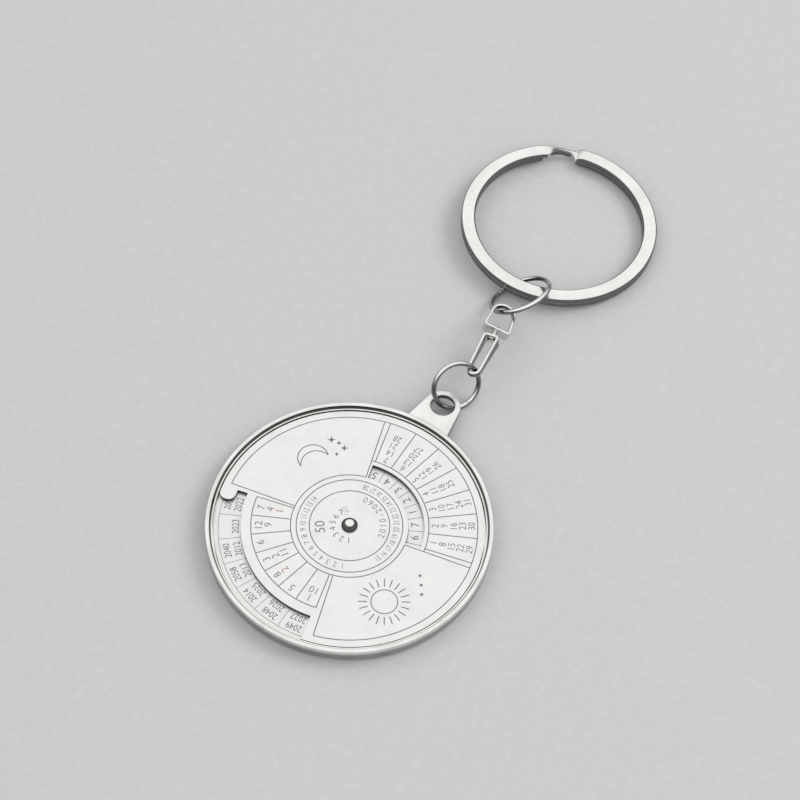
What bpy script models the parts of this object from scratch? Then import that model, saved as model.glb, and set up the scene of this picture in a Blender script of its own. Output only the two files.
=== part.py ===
# Perpetual calendar keyring: a cup-shaped case with a turning date dial over a fixed year dial,
# and a short chain of jump rings and a swivel that carries the split ring for keys.
# The case lies with its back on z = 0, the chain runs along +Y.

import math

import bmesh
import bpy
from mathutils import Matrix, Vector

# Case, metres
CASE_DIAMETER = 0.0405
BACK_CORNER_RADIUS = 0.0008
RIM_EDGE_ROUND = 0.00015
RIM_CREST_WIDTH = 0.00045
RIM_SLOPE_WIDTH = 0.00025
RIM_LEDGE_WIDTH = 0.0002
RIM_RISE = 0.00065
RIM_SLOPE_DROP = 0.00052
FLOOR_THICKNESS = 0.00095

# Lug on the case
LUG_UNDERSIDE = 0.001
LUG_THICKNESS = 0.001
LUG_ROOT_WIDTH = 0.00684
LUG_HEAD_RADIUS = 0.00272
LUG_HEAD_REACH = 0.00383
LUG_HOLE_RADIUS = 0.00175
LUG_HOLE_REACH = 0.00409
LUG_EDGE_ROUND = 0.00018

# Dials and what holds them
PLATE_GAP = 0.00005
DIAL_EDGE_GAP = 0.00015
YEAR_DIAL_THICKNESS = 0.00042
DATE_DIAL_THICKNESS = 0.0004
WASHER_THICKNESS = 0.00008
WASHER_DIAMETER = 0.0062
RIVET_SHANK_RADIUS = 0.00075
RIVET_BORE_CLEARANCE = 0.00006
RIVET_DOME_RADIUS = 0.00114
RIVET_DOME_HEIGHT = 0.0005
RIVET_DOME_WALL = 0.00012
RIVET_HOLE_DEPTH = 0.00065

# Windows of the date dial, measured inwards from its rim
YEAR_WINDOW_DEPTH = 0.00379
DATE_FIELD_DEPTH = 0.00856
WEEKDAY_WINDOW_HEIGHT = 0.00224
YEAR_WINDOW_ANGLES = (193.95, 283.3)
WEEKDAY_WINDOW_ANGLES = (14.1, 105.3)
TAB_LENGTH = 0.0019
TAB_WIDTH = 0.0023
TAB_CORNER_RADIUS = 0.00105

# Jump rings
JUMP_WIRE_RADIUS = 0.00037
CASE_RING_RADIUS = 0.00354
KEY_RING_RADIUS = 0.00457
JUMP_RING_SLIT = 0.00006

# Swivel: two bent straps on one rivet
STRAP_THICKNESS = 0.00042
STRAP_EDGE_ROUND = 0.00012
STRAP_CORNER_RADIUS = 0.00055
STRAP_BASE_WIDTH = 0.00185
STRAP_BOW_WIDTH = 0.00095
LOWER_BAIL_LENGTH = 0.0078
LOWER_BAIL_HALF_WIDTH = 0.00125
LOWER_BOW_RADIUS = 0.00107
UPPER_BAIL_LENGTH = 0.0052
UPPER_BAIL_HALF_WIDTH = 0.0021
UPPER_BOW_RADIUS = 0.00175
LOWER_LINK_PLAY = 0.0004
UPPER_LINK_PLAY = 0.00033
SWIVEL_GAP = 0.0011
SWIVEL_NECK_RADIUS = 0.00042
SWIVEL_HOLE_CLEARANCE = 0.0001
SWIVEL_HEAD_RADIUS = 0.00066
SWIVEL_HEAD_THICKNESS = 0.00026
SWIVEL_FIXED_SEAT_GAP = 0.00005
SWIVEL_LOOSE_SEAT_GAP = 0.00016

# Split ring
SPLIT_RING_DIAMETER = 0.030
SPLIT_BAND_WIDTH = 0.0021
SPLIT_COIL_THICKNESS = 0.00086
SPLIT_COIL_GAP = 0.00008
SPLIT_EDGE_ROUND = 0.00022
SPLIT_WIRE_DROP = 0.00085
KEY_RING_SLACK = 0.00099

# How the chain lies: headings, tilts and turns in degrees
CASE_RING_OFFSET_SHARES = (-0.163, 0.107)
CASE_RING_LAY = (-32.4, 60.4, 309.8)
CASE_RING_LINK_ANGLE = 166.0
LOWER_BAIL_LAY = (-81.5, 4.0, 8.0)
UPPER_BAIL_LAY = (102.5, -4.0, 13.0)
KEY_RING_LAY = (165.5, 36.3, 106.0)
KEY_RING_LINK_ANGLE = 180.0
SPLIT_RING_HEADING = 103.7
SPLIT_RING_TILT = 2.35
SPLIT_RING_TILT_HEADING = 43.0
SPLIT_LOWER_END = 132.0
SPLIT_RAMP_ANGLES = (112.0, 131.0)
SPLIT_UPPER_END = 109.0
SPLIT_END_TAPER_ANGLE = 3.5
SPLIT_END_THICKNESS_SHARE = 0.5
CASE_RING_SLIT_ANGLE = 70.0
KEY_RING_SLIT_ANGLE = 262.0

# Facets
TURN_STEPS = 96
ARC_STEP_DEGREES = 3.75
SMALL_TURN_STEPS = 32
WIRE_SIDES = 12
RING_STEPS = 48
BOW_STEPS = 14
CORNER_STEPS = 4
SPLIT_STEP_DEGREES = 7.5
CUT_OVERRUN = 0.001
MERGE_DISTANCE = 0.000001

# Derived sizes
CASE_RADIUS = CASE_DIAMETER / 2
BORE_RADIUS = CASE_RADIUS - RIM_EDGE_ROUND - RIM_CREST_WIDTH - RIM_SLOPE_WIDTH - RIM_LEDGE_WIDTH
DIAL_RADIUS = BORE_RADIUS - DIAL_EDGE_GAP
YEAR_DIAL_BASE = FLOOR_THICKNESS + PLATE_GAP
YEAR_DIAL_TOP = YEAR_DIAL_BASE + YEAR_DIAL_THICKNESS
WASHER_BASE = YEAR_DIAL_TOP + PLATE_GAP
DATE_DIAL_BASE = WASHER_BASE + WASHER_THICKNESS + PLATE_GAP
DATE_DIAL_TOP = DATE_DIAL_BASE + DATE_DIAL_THICKNESS
CASE_HEIGHT = DATE_DIAL_TOP + RIM_RISE
BORE_FOR_RIVET = RIVET_SHANK_RADIUS + RIVET_BORE_CLEARANCE
SPLIT_OUTER_RADIUS = SPLIT_RING_DIAMETER / 2
SPLIT_INNER_RADIUS = SPLIT_OUTER_RADIUS - SPLIT_BAND_WIDTH
SPLIT_PITCH = SPLIT_COIL_THICKNESS + SPLIT_COIL_GAP


def clear_scene():
    for item in list(bpy.data.objects):
        bpy.data.objects.remove(item, do_unlink=True)


def make_material(name, colour, roughness, metallic=1.0):
    material = bpy.data.materials.new(name)
    material.use_nodes = True
    shader = material.node_tree.nodes["Principled BSDF"]
    shader.inputs["Base Color"].default_value = (*colour, 1.0)
    shader.inputs["Roughness"].default_value = roughness
    shader.inputs["Metallic"].default_value = metallic
    material.diffuse_color = (*colour, 1.0)
    return material


def nickel_plate():
    return make_material("nickel_plate", (0.78, 0.76, 0.72), 0.12)


def etched_steel():
    return make_material("etched_steel", (0.72, 0.72, 0.70), 0.3)


def year_plate_steel():
    return make_material("year_plate_steel", (0.66, 0.66, 0.64), 0.32)


def spring_steel():
    return make_material("spring_steel", (0.55, 0.55, 0.54), 0.4)


def polished_steel():
    return make_material("polished_steel", (0.82, 0.81, 0.78), 0.1)


def finish_object(name, bm, material, smooth_angle=40.0):
    """Makes the named object from a closed bmesh, shaded smooth over its round faces."""
    bmesh.ops.recalc_face_normals(bm, faces=bm.faces)
    mesh = bpy.data.meshes.new(name)
    bm.to_mesh(mesh)
    bm.free()
    mesh.shade_smooth()
    mesh.set_sharp_from_angle(angle=math.radians(smooth_angle))
    mesh.materials.append(material)
    piece = bpy.data.objects.new(name, mesh)
    bpy.context.collection.objects.link(piece)
    return piece


def make_cutter(name, bm):
    bmesh.ops.recalc_face_normals(bm, faces=bm.faces)
    mesh = bpy.data.meshes.new(name)
    bm.to_mesh(mesh)
    bm.free()
    cutter = bpy.data.objects.new(name, mesh)
    bpy.context.collection.objects.link(cutter)
    cutter.hide_render = True
    cutter.display_type = "WIRE"
    return cutter


def add_boolean(piece, other, operation):
    modifier = piece.modifiers.new(other.name, "BOOLEAN")
    modifier.operation = operation
    modifier.solver = "EXACT"
    modifier.object = other


def add_bevel(piece, width, limit_degrees=40.0, segments=2):
    modifier = piece.modifiers.new("edge_round", "BEVEL")
    modifier.width = width
    modifier.segments = segments
    modifier.limit_method = "ANGLE"
    modifier.angle_limit = math.radians(limit_degrees)


def arc_points(centre, radius, start, stop, steps):
    """Points on an arc in a plane, angles in degrees, both ends included."""
    points = []
    for index in range(steps + 1):
        angle = math.radians(start + (stop - start) * index / steps)
        points.append((centre[0] + radius * math.cos(angle), centre[1] + radius * math.sin(angle)))
    return points


def turned_solid(profile, steps):
    """Turns a closed (radius, height) outline once round Z."""
    bm = bmesh.new()
    verts = [bm.verts.new((radius, 0, height)) for radius, height in profile]
    edges = [bm.edges.new((a, b)) for a, b in zip(verts, verts[1:] + verts[:1])]
    bmesh.ops.spin(bm, geom=verts + edges, cent=(0, 0, 0), axis=(0, 0, 1),
                   angle=math.tau, steps=steps, use_merge=True, use_duplicate=False)
    return bm


def turned_on_axis(profile, steps, top=None):
    """Turns an open outline that a flat disc closes at each end, or a point at the given top."""
    end = profile[-1][1] if top is None else top
    bm = bmesh.new()
    verts = [bm.verts.new((radius, 0, height)) for radius, height in profile]
    verts = [bm.verts.new((0, 0, profile[0][1]))] + verts + [bm.verts.new((0, 0, end))]
    edges = [bm.edges.new((a, b)) for a, b in zip(verts, verts[1:])]
    bmesh.ops.spin(bm, geom=verts + edges, cent=(0, 0, 0), axis=(0, 0, 1),
                   angle=math.tau, steps=steps, use_merge=True, use_duplicate=False)
    bmesh.ops.remove_doubles(bm, verts=bm.verts, dist=MERGE_DISTANCE)
    return bm


def prism(outline, low, high):
    """Extrudes a flat outline from one height to another."""
    bm = bmesh.new()
    verts = [bm.verts.new((x, y, low)) for x, y in outline]
    face = bm.faces.new(verts)
    grown = bmesh.ops.extrude_face_region(bm, geom=[face])
    moved = [item for item in grown["geom"] if isinstance(item, bmesh.types.BMVert)]
    bmesh.ops.translate(bm, verts=moved, vec=(0, 0, high - low))
    return bm


def plate_ring(inner, outer, low, high, steps=TURN_STEPS):
    return turned_solid([(inner, low), (outer, low), (outer, high), (inner, high)], steps)


def arc_steps(start, stop):
    return max(2, round(abs(stop - start) / ARC_STEP_DEGREES))


def case_profile():
    """Half section of the case: rounded side, crested rim, ledge, bore, floor and rivet hole."""
    crest = CASE_HEIGHT
    crest_outer = CASE_RADIUS - RIM_EDGE_ROUND
    crest_inner = crest_outer - RIM_CREST_WIDTH
    slope_foot = crest_inner - RIM_SLOPE_WIDTH
    ledge = crest - RIM_SLOPE_DROP
    corner = (CASE_RADIUS - BACK_CORNER_RADIUS, BACK_CORNER_RADIUS)
    profile = arc_points(corner, BACK_CORNER_RADIUS, -90, 0, CORNER_STEPS)
    profile += arc_points((crest_outer, crest - RIM_EDGE_ROUND), RIM_EDGE_ROUND, 0, 90, 2)
    profile += [(crest_inner, crest), (slope_foot, ledge), (BORE_RADIUS, ledge)]
    profile += [(BORE_RADIUS, FLOOR_THICKNESS), (BORE_FOR_RIVET, FLOOR_THICKNESS)]
    profile += [(BORE_FOR_RIVET, FLOOR_THICKNESS - RIVET_HOLE_DEPTH)]
    return profile


def lug_outline():
    """Tapering ear with a round head, its root buried in the case wall."""
    wall_middle = (BORE_RADIUS + CASE_RADIUS) / 2
    half_root = LUG_ROOT_WIDTH / 2
    root = math.sqrt(wall_middle ** 2 - half_root ** 2)
    shoulder = math.sqrt(CASE_RADIUS ** 2 - half_root ** 2)
    head = (0, CASE_RADIUS + LUG_HEAD_REACH)
    lean = math.degrees(math.atan2(half_root - LUG_HEAD_RADIUS, head[1] - shoulder))
    outline = [(half_root, root), (half_root, shoulder)]
    outline += arc_points(head, LUG_HEAD_RADIUS, lean, 180 - lean, BOW_STEPS * 2)
    outline += [(-half_root, shoulder), (-half_root, root)]
    return outline


def lug_hole_centre():
    return Vector((0, CASE_RADIUS + LUG_HOLE_REACH, LUG_UNDERSIDE + LUG_THICKNESS / 2))


def build_case(material):
    case = finish_object("case", turned_on_axis(case_profile(), TURN_STEPS), material)
    lug = make_cutter("lug_form", prism(lug_outline(), LUG_UNDERSIDE, LUG_UNDERSIDE + LUG_THICKNESS))
    add_bevel(lug, LUG_EDGE_ROUND)
    add_boolean(case, lug, "UNION")
    hole = lug_hole_centre()
    rim = arc_points((hole.x, hole.y), LUG_HOLE_RADIUS, 0, 360, SMALL_TURN_STEPS)[:-1]
    low = LUG_UNDERSIDE - CUT_OVERRUN
    high = LUG_UNDERSIDE + LUG_THICKNESS + CUT_OVERRUN
    add_boolean(case, make_cutter("lug_hole", prism(rim, low, high)), "DIFFERENCE")
    return case


def build_year_dial(material):
    bm = plate_ring(BORE_FOR_RIVET, DIAL_RADIUS, YEAR_DIAL_BASE, YEAR_DIAL_TOP)
    return finish_object("year_dial", bm, material)


def build_friction_washer(material):
    top = WASHER_BASE + WASHER_THICKNESS
    bm = plate_ring(BORE_FOR_RIVET, WASHER_DIAMETER / 2, WASHER_BASE, top, SMALL_TURN_STEPS)
    return finish_object("friction_washer", bm, material)


def sector_outline(inner, outer, start, stop):
    steps = arc_steps(start, stop)
    return arc_points((0, 0), inner, start, stop, steps) + arc_points((0, 0), outer, stop, start, steps)


def tab_edge():
    """The finger tab's rounded end, from the dial's rim inwards, at the start of the year window."""
    start = math.radians(YEAR_WINDOW_ANGLES[0])
    along = Vector((-math.sin(start), math.cos(start)))
    out = Vector((math.cos(start), math.sin(start)))
    reach = TAB_LENGTH - TAB_CORNER_RADIUS
    inner = DIAL_RADIUS - TAB_WIDTH
    centres = (DIAL_RADIUS - TAB_CORNER_RADIUS, inner + TAB_CORNER_RADIUS)
    points = []
    for centre, first, last in ((centres[0], 90, 0), (centres[1], 0, -90)):
        for x, y in arc_points((reach, centre), TAB_CORNER_RADIUS, first, last, CORNER_STEPS):
            points.append(tuple(along * x + out * y))
    points.append(tuple(out * inner))
    return points


def year_window_outline():
    """Cut from the rim down to the window's inner edge, with the finger tab left standing."""
    start, stop = YEAR_WINDOW_ANGLES
    beyond = DIAL_RADIUS + CUT_OVERRUN
    tab = tab_edge()
    tab_angle = math.degrees(math.atan2(tab[0][1], tab[0][0])) % 360
    inner = arc_points((0, 0), DIAL_RADIUS - YEAR_WINDOW_DEPTH, start, stop, arc_steps(start, stop))
    outer = arc_points((0, 0), beyond, stop, tab_angle, arc_steps(start, stop))
    return inner + outer + tab


def build_date_dial(material):
    bm = plate_ring(BORE_FOR_RIVET, DIAL_RADIUS, DATE_DIAL_BASE, DATE_DIAL_TOP)
    dial = finish_object("date_dial", bm, material)
    low = DATE_DIAL_BASE - CUT_OVERRUN
    high = DATE_DIAL_TOP + CUT_OVERRUN
    add_boolean(dial, make_cutter("year_window", prism(year_window_outline(), low, high)), "DIFFERENCE")
    outer = DIAL_RADIUS - DATE_FIELD_DEPTH
    outline = sector_outline(outer - WEEKDAY_WINDOW_HEIGHT, outer, *WEEKDAY_WINDOW_ANGLES)
    add_boolean(dial, make_cutter("weekday_window", prism(outline, low, high)), "DIFFERENCE")
    return dial


def build_centre_rivet(material):
    """Domed head on the date dial and a plain shank down into the blind hole of the floor."""
    shank_end = FLOOR_THICKNESS - RIVET_HOLE_DEPTH + PLATE_GAP
    dome_base = DATE_DIAL_TOP + PLATE_GAP
    crown = RIVET_DOME_HEIGHT - RIVET_DOME_WALL
    profile = [(RIVET_SHANK_RADIUS, shank_end), (RIVET_SHANK_RADIUS, dome_base)]
    profile += [(RIVET_DOME_RADIUS, dome_base)]
    for x, y in arc_points((0, 0), 1, 0, 90, CORNER_STEPS * 2):
        profile.append((RIVET_DOME_RADIUS * x, dome_base + RIVET_DOME_WALL + crown * y))
    bm = turned_on_axis(profile[:-1], SMALL_TURN_STEPS, profile[-1][1])
    return finish_object("centre_rivet", bm, material)


def ring_matrix(lay):
    """Turns a flat ring: heading and size of its lean, then its turn in its own plane."""
    heading, tilt, turn = (math.radians(value) for value in lay)
    return Matrix.Rotation(heading, 3, "Z") @ Matrix.Rotation(tilt, 3, "Y") @ Matrix.Rotation(turn, 3, "Z")


def bail_matrix(lay):
    """Local X runs from the crosspiece to the bow, local Z is square to the bent strap's plane."""
    heading, pitch, roll = (math.radians(value) for value in lay)
    turn = Matrix.Rotation(heading, 3, "Z") @ Matrix.Rotation(-pitch, 3, "Y")
    return turn @ Matrix.Rotation(roll, 3, "X")


def on_ring(matrix, radius, degrees):
    angle = math.radians(degrees)
    return matrix @ Vector((radius * math.cos(angle), radius * math.sin(angle), 0))


def place(piece, matrix, point):
    piece.matrix_world = Matrix.Translation(point) @ matrix.to_4x4()


def wire_ring(radius, slit_degrees):
    """Round wire bent to a ring whose inner link is the origin, with a fine slit where it closes."""
    bm = bmesh.new()
    bmesh.ops.create_circle(bm, cap_ends=True, segments=WIRE_SIDES, radius=JUMP_WIRE_RADIUS)
    bmesh.ops.rotate(bm, verts=bm.verts, cent=(0, 0, 0), matrix=Matrix.Rotation(math.pi / 2, 3, "X"))
    bmesh.ops.translate(bm, verts=bm.verts, vec=(radius, 0, 0))
    slit = JUMP_RING_SLIT / radius
    bmesh.ops.spin(bm, geom=bm.verts[:] + bm.edges[:] + bm.faces[:], cent=(0, 0, 0), axis=(0, 0, 1),
                   angle=math.tau - slit, steps=RING_STEPS, use_merge=False, use_duplicate=False)
    open_edges = [edge for edge in bm.edges if edge.is_boundary]
    bmesh.ops.holes_fill(bm, edges=open_edges, sides=0)
    turn = Matrix.Rotation(math.radians(slit_degrees) + slit / 2, 3, "Z")
    bmesh.ops.rotate(bm, verts=bm.verts, cent=(0, 0, 0), matrix=turn)
    bmesh.ops.translate(bm, verts=bm.verts, vec=(-radius, 0, 0))
    return bm


def strap_outline(length, half_width, bow_radius, inset):
    """One side of the bent strap: a round bow, two straight legs and a square crosspiece."""
    bow = Vector((length - bow_radius, 0))
    corner = Vector((STRAP_CORNER_RADIUS, half_width - STRAP_CORNER_RADIUS))
    span = corner - bow
    lean = math.acos((bow_radius - STRAP_CORNER_RADIUS) / span.length)
    turn = math.degrees(math.atan2(span.y, span.x) - lean)
    points = arc_points(bow, bow_radius - inset, -turn, turn, BOW_STEPS)
    points += arc_points(corner, STRAP_CORNER_RADIUS - inset, turn, 180, CORNER_STEPS)
    other = (corner.x, -corner.y)
    points += arc_points(other, STRAP_CORNER_RADIUS - inset, 180, 360 - turn, CORNER_STEPS)
    return points


def bent_strap(length, half_width, bow_radius, base_at):
    """A strap bent to a bail, wider at the crosspiece than at the bow."""
    bm = bmesh.new()
    loops = []
    for inset in (0, STRAP_THICKNESS):
        outline = strap_outline(length, half_width, bow_radius, inset)
        verts = [bm.verts.new((x, y, 0)) for x, y in outline]
        loops += [bm.edges.new((a, b)) for a, b in zip(verts, verts[1:] + verts[:1])]
    bmesh.ops.bridge_loops(bm, edges=loops)
    base_verts = bm.verts[:]
    grown = bmesh.ops.extrude_face_region(bm, geom=bm.faces[:])
    moved = [item for item in grown["geom"] if isinstance(item, bmesh.types.BMVert)]
    for vert in base_verts:
        vert.co.z = -strap_half_width(vert.co.x, length)
    for vert in moved:
        vert.co.z = strap_half_width(vert.co.x, length)
    bmesh.ops.translate(bm, verts=bm.verts, vec=(base_at, 0, 0))
    return bm


def strap_half_width(x, length):
    return (STRAP_BASE_WIDTH + (STRAP_BOW_WIDTH - STRAP_BASE_WIDTH) * x / length) / 2


def build_bail(name, length, half_width, bow_radius, base_at, material):
    bail = finish_object(name, bent_strap(length, half_width, bow_radius, base_at), material)
    add_bevel(bail, STRAP_EDGE_ROUND)
    hole = arc_points((0, 0), SWIVEL_NECK_RADIUS + SWIVEL_HOLE_CLEARANCE, 0, 360, SMALL_TURN_STEPS // 2)
    bm = prism(hole[:-1], base_at - CUT_OVERRUN, base_at + STRAP_THICKNESS + CUT_OVERRUN)
    bmesh.ops.rotate(bm, verts=bm.verts, cent=(0, 0, 0), matrix=Matrix.Rotation(math.pi / 2, 3, "Y"))
    cutter = make_cutter(name + "_hole", bm)
    cutter.parent = bail
    add_boolean(bail, cutter, "DIFFERENCE")
    return bail


def build_swivel_rivet(material):
    """Neck through both crosspieces with a domed head inside each bail, local Z towards the upper."""
    lower_seat = -STRAP_THICKNESS - SWIVEL_FIXED_SEAT_GAP
    upper_seat = SWIVEL_GAP + STRAP_THICKNESS + SWIVEL_LOOSE_SEAT_GAP
    arc = arc_points((0, 0), 1, 0, 90, CORNER_STEPS)
    profile = []
    for x, y in reversed(arc):
        profile.append((SWIVEL_HEAD_RADIUS * x, lower_seat - SWIVEL_HEAD_THICKNESS * y))
    profile += [(SWIVEL_NECK_RADIUS, lower_seat), (SWIVEL_NECK_RADIUS, upper_seat)]
    for x, y in arc:
        profile.append((SWIVEL_HEAD_RADIUS * x, upper_seat + SWIVEL_HEAD_THICKNESS * y))
    bm = turned_on_axis(profile[1:-1], SMALL_TURN_STEPS // 2, upper_seat + SWIVEL_HEAD_THICKNESS)
    return finish_object("swivel_rivet", bm, material)


def band_section():
    """Cross-section of one coil of the split ring, radial offset and height, with eased corners."""
    half_width = SPLIT_BAND_WIDTH / 2
    half_height = SPLIT_COIL_THICKNESS / 2
    ease = SPLIT_EDGE_ROUND
    section = []
    for side_x, side_y in ((1, -1), (1, 1), (-1, 1), (-1, -1)):
        near_x = (side_x * half_width, side_y * (half_height - ease))
        near_y = (side_x * (half_width - ease), side_y * half_height)
        section += [near_x, near_y] if side_x * side_y > 0 else [near_y, near_x]
    return section


def split_coil_height(degrees):
    """Height of the coil's middle: lower turn, a smooth ramp at the crimp, then upper turn."""
    first, last = (value + 360 for value in SPLIT_RAMP_ANGLES)
    share = min(1, max(0, (degrees - first) / (last - first)))
    eased = share * share * (3 - 2 * share)
    return (eased * 2 - 1) * SPLIT_PITCH / 2


def build_split_ring(material):
    start = SPLIT_LOWER_END
    stop = SPLIT_UPPER_END + 720
    steps = round((stop - start) / SPLIT_STEP_DEGREES)
    middle = SPLIT_OUTER_RADIUS - SPLIT_BAND_WIDTH / 2
    section = band_section()
    angles = [start + (stop - start) * index / steps for index in range(steps + 1)]
    angles += [start + SPLIT_END_TAPER_ANGLE, stop - SPLIT_END_TAPER_ANGLE]
    ramp = [value + 360 for value in SPLIT_RAMP_ANGLES]
    angles += [ramp[0] + (ramp[1] - ramp[0]) * index / CORNER_STEPS for index in range(CORNER_STEPS + 1)]
    bm = bmesh.new()
    last_edges = []
    for degrees in sorted(set(round(value, 3) for value in angles)):
        near_end = min(degrees - start, stop - degrees) / SPLIT_END_TAPER_ANGLE
        fullness = min(1, SPLIT_END_THICKNESS_SHARE + (1 - SPLIT_END_THICKNESS_SHARE) * near_end)
        outer_side = -1 if degrees - start < stop - degrees else 1
        shift = outer_side * (fullness - 1) * SPLIT_COIL_THICKNESS / 2
        turn = Matrix.Rotation(math.radians(degrees), 3, "Z")
        height = split_coil_height(degrees) + shift
        points = [turn @ Vector((middle + x, 0, height + y * fullness)) for x, y in section]
        loop = [bm.verts.new(point) for point in points]
        edges = [bm.edges.new((a, b)) for a, b in zip(loop, loop[1:] + loop[:1])]
        if last_edges:
            bmesh.ops.bridge_loops(bm, edges=last_edges + edges)
        last_edges = edges
    open_edges = [edge for edge in bm.edges if edge.is_boundary]
    bmesh.ops.holes_fill(bm, edges=open_edges, sides=0)
    return finish_object("split_ring", bm, material)


def build_chain(ring_material, bail_material):
    """Lays each link from the one before it: lug, case ring, swivel, key-side ring, split ring."""
    play = LUG_HOLE_RADIUS - JUMP_WIRE_RADIUS
    offset = Vector((CASE_RING_OFFSET_SHARES[0] * play, CASE_RING_OFFSET_SHARES[1] * play, 0))
    case_pivot = lug_hole_centre() + offset
    case_turn = ring_matrix(CASE_RING_LAY)
    case_centre = case_pivot - on_ring(case_turn, CASE_RING_RADIUS, 0)
    bm = wire_ring(CASE_RING_RADIUS, CASE_RING_SLIT_ANGLE)
    place(finish_object("case_jump_ring", bm, ring_material), case_turn, case_pivot)

    lower_pivot = case_centre + on_ring(case_turn, CASE_RING_RADIUS, CASE_RING_LINK_ANGLE)
    lower_turn = bail_matrix(LOWER_BAIL_LAY)
    lower_axis = lower_turn @ Vector((1, 0, 0))
    lower_inner = LOWER_BOW_RADIUS - STRAP_THICKNESS
    lower_base = JUMP_WIRE_RADIUS + LOWER_LINK_PLAY - lower_inner - (LOWER_BAIL_LENGTH - LOWER_BOW_RADIUS)
    lower_bail = build_bail("swivel_lower_bail", LOWER_BAIL_LENGTH, LOWER_BAIL_HALF_WIDTH,
                            LOWER_BOW_RADIUS, lower_base, bail_material)
    place(lower_bail, lower_turn, lower_pivot)

    rivet_point = lower_pivot + lower_axis * lower_base
    rivet_turn = lower_turn @ Matrix.Rotation(-math.pi / 2, 3, "Y")
    place(build_swivel_rivet(ring_material), rivet_turn, rivet_point)

    upper_turn = bail_matrix(UPPER_BAIL_LAY)
    upper_axis = upper_turn @ Vector((1, 0, 0))
    upper_point = rivet_point - lower_axis * SWIVEL_GAP
    upper_bail = build_bail("swivel_upper_bail", UPPER_BAIL_LENGTH, UPPER_BAIL_HALF_WIDTH,
                            UPPER_BOW_RADIUS, 0, bail_material)
    place(upper_bail, upper_turn, upper_point)

    bow_inside = UPPER_BAIL_LENGTH - STRAP_THICKNESS
    key_pivot = upper_point + upper_axis * (bow_inside - JUMP_WIRE_RADIUS - UPPER_LINK_PLAY)
    key_turn = ring_matrix(KEY_RING_LAY)
    key_centre = key_pivot - on_ring(key_turn, KEY_RING_RADIUS, 0)
    bm = wire_ring(KEY_RING_RADIUS, KEY_RING_SLIT_ANGLE)
    place(finish_object("key_jump_ring", bm, ring_material), key_turn, key_pivot)

    far_wire = key_centre + on_ring(key_turn, KEY_RING_RADIUS, KEY_RING_LINK_ANGLE)
    heading = math.radians(SPLIT_RING_HEADING)
    reach = SPLIT_INNER_RADIUS - JUMP_WIRE_RADIUS - KEY_RING_SLACK
    split_centre = far_wire + Vector((math.cos(heading), math.sin(heading), 0)) * reach
    split_centre.z = far_wire.z - SPLIT_WIRE_DROP
    split_turn = ring_matrix((SPLIT_RING_TILT_HEADING, SPLIT_RING_TILT, -SPLIT_RING_TILT_HEADING))
    place(build_split_ring(ring_material), split_turn, split_centre)


def build_keyring():
    clear_scene()
    nickel = nickel_plate()
    polished = polished_steel()
    build_case(nickel)
    build_year_dial(year_plate_steel())
    build_friction_washer(spring_steel())
    build_date_dial(etched_steel())
    build_centre_rivet(polished)
    build_chain(nickel, polished)


build_keyring()
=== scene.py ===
# %% [markdown]
# # A perpetual calendar keyring, dressed piece by piece
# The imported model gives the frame: a round case with a turning date dial over a fixed year dial,
# and a chain of wire rings and a swivel up to the split ring. Its solids are right in size but
# plain. Each cell here rebuilds one visible piece with finer edges, engraving and a metal finish.
# Everything lies where the frame has it, in metres, with +Z out of the dial and +Y up the chain.

import datetime
import math

import bmesh
import bpy
from mathutils import Matrix, Vector


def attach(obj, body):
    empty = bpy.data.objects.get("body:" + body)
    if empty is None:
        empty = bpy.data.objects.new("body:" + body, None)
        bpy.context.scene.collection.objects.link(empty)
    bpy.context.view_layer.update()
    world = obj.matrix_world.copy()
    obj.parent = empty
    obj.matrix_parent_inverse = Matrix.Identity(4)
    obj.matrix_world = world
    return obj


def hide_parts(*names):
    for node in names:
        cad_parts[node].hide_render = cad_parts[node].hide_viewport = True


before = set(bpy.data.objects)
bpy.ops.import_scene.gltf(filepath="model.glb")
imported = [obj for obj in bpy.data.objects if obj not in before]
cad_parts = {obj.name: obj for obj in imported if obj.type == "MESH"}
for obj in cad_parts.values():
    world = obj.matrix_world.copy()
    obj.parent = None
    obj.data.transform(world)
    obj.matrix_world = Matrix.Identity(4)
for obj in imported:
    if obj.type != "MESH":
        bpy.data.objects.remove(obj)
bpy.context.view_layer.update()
scene = bpy.context.scene
MM = 0.001


def placed(name, data):
    """A new object at the origin of the scene."""
    item = bpy.data.objects.new(name, data)
    scene.collection.objects.link(item)
    return item


# %% [markdown]
# ## Looking from the photograph's place
# The photograph was taken with a long lens from above and to one side. The camera's place and its
# axes, right, up and back, were worked out from the outlines of the case and the split ring,
# which are circles.

# %% Camera
CAMERA_PLACE = Vector((89.8, -141.8, 292.1)) * MM
CAMERA_AXES = ((0.837, 0.5455, 0.032), (-0.4727, 0.692, 0.545), (0.2755, -0.472, 0.838))
LENS = 107.46
NEAREST = 10 * MM
FARTHEST = 20.0

lens = bpy.data.cameras.new("photo_camera")
lens.lens = LENS
lens.clip_start = NEAREST
lens.clip_end = FARTHEST
camera = placed("photo_camera", lens)
camera.rotation_mode = "QUATERNION"
camera.rotation_quaternion = Matrix(CAMERA_AXES).transposed().to_quaternion().normalized()
camera.location = CAMERA_PLACE
scene.camera = camera
print("camera stands", round(CAMERA_PLACE.length / MM), "mm from the dial")

# %% [markdown]
# ## Writing finishes as sums
# A finish is a small net of shader nodes. Wiring it by hand is long to write and hard to read, so
# a socket is wrapped in a class whose plus, minus and times signs add the Math nodes. One method,
# add, makes any other node from its type, its settings and the values or links of its sockets.

# %% Helper for finishes


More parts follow.
